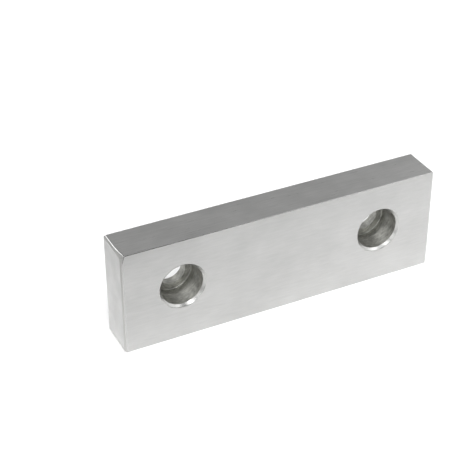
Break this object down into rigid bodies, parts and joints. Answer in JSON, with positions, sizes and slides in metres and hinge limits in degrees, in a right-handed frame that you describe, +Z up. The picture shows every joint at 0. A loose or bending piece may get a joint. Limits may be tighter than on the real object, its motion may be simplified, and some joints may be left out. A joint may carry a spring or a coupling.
{
  "type": "machinable soft jaw",
  "caption": "Plain aluminium vise jaw plate with counterbored screw holes, made to be cut to the shape of the workpiece.",
  "frame": {"origin": "middle of the bottom face", "axes": "+X along the jaw, +Y from the clamping face with the counterbores to the mounting face, +Z up from the bottom face"},
  "size_m": [0.155, 0.0188, 0.0505],
  "materials": {
    "milled_aluminium": "satin milled"
  },
  "bodies": {
    "root": {"soft_jaw": "milled_aluminium"}
  },
  "joints": []
}
